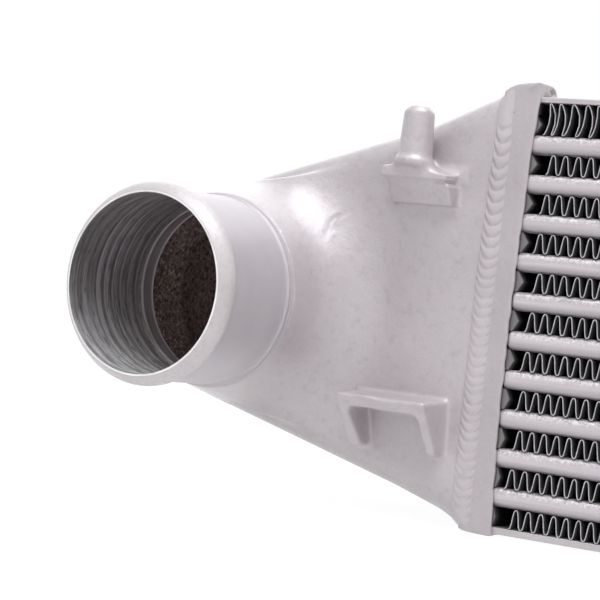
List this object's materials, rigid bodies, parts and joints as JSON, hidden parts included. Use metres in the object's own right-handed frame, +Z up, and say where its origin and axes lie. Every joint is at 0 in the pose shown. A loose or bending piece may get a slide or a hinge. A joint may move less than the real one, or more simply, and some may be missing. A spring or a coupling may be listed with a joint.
{
  "type": "bar-and-plate intercooler",
  "caption": "Air-to-air charge cooler: a brazed bar-and-plate core with folded fins between two cast end tanks, each with a beaded hose neck, a locating pin and a catch.",
  "frame": {"origin": "middle of the bottom side plate's underside", "axes": "+X along the core from the left tank to the right tank, +Y from the necks' side to the back, +Z up across the passages"},
  "size_m": [0.515, 0.1633, 0.1624],
  "materials": {
    "cast_tank": "fine sand-cast texture under a thin warm silver coating, machined neck",
    "weld_filler": "rippled weld filler, bright",
    "header_frame": "brushed, lightly rounded edges",
    "cooling_fins": "thin foil, bright cut edges",
    "turbulators": "thin foil",
    "parting_sheets": "thin sheet, braze film",
    "side_plates": "flat rolled plate, faint braze stains",
    "passage_bars": "extruded bar, fine lengthwise grain",
    "header_bars": "extruded bar, satin"
  },
  "bodies": {
    "root": {"bottom_side_plate": "side_plates", "cooling_fin_01": "cooling_fins", "cooling_fin_02": "cooling_fins", "cooling_fin_03": "cooling_fins", "cooling_fin_04": "cooling_fins", "cooling_fin_05": "cooling_fins", "cooling_fin_06": "cooling_fins", "cooling_fin_07": "cooling_fins", "cooling_fin_08": "cooling_fins", "cooling_fin_09": "cooling_fins", "cooling_fin_10": "cooling_fins", "cooling_fin_11": "cooling_fins", "front_passage_bars": "passage_bars", "left_header_bars": "header_bars", "left_header_frame": "header_frame", "left_tank": "cast_tank", "left_weld_seam": "weld_filler", "parting_sheet_01": "parting_sheets", "parting_sheet_02": "parting_sheets", "parting_sheet_03": "parting_sheets", "parting_sheet_04": "parting_sheets", "parting_sheet_05": "parting_sheets", "parting_sheet_06": "parting_sheets", "parting_sheet_07": "parting_sheets", "parting_sheet_08": "parting_sheets", "parting_sheet_09": "parting_sheets", "parting_sheet_10": "parting_sheets", "parting_sheet_11": "parting_sheets", "parting_sheet_12": "parting_sheets", "parting_sheet_13": "parting_sheets", "parting_sheet_14": "parting_sheets", "parting_sheet_15": "parting_sheets", "parting_sheet_16": "parting_sheets", "parting_sheet_17": "parting_sheets", "parting_sheet_18": "parting_sheets", "parting_sheet_19": "parting_sheets", "parting_sheet_20": "parting_sheets", "rear_passage_bars": "passage_bars", "right_header_bars": "header_bars", "right_header_frame": "header_frame", "right_tank": "cast_tank", "right_weld_seam": "weld_filler", "top_side_plate": "side_plates", "turbulator_01": "turbulators", "turbulator_02": "turbulators", "turbulator_03": "turbulators", "turbulator_04": "turbulators", "turbulator_05": "turbulators", "turbulator_06": "turbulators", "turbulator_07": "turbulators", "turbulator_08": "turbulators", "turbulator_09": "turbulators", "turbulator_10": "turbulators"}
  },
  "joints": []
}
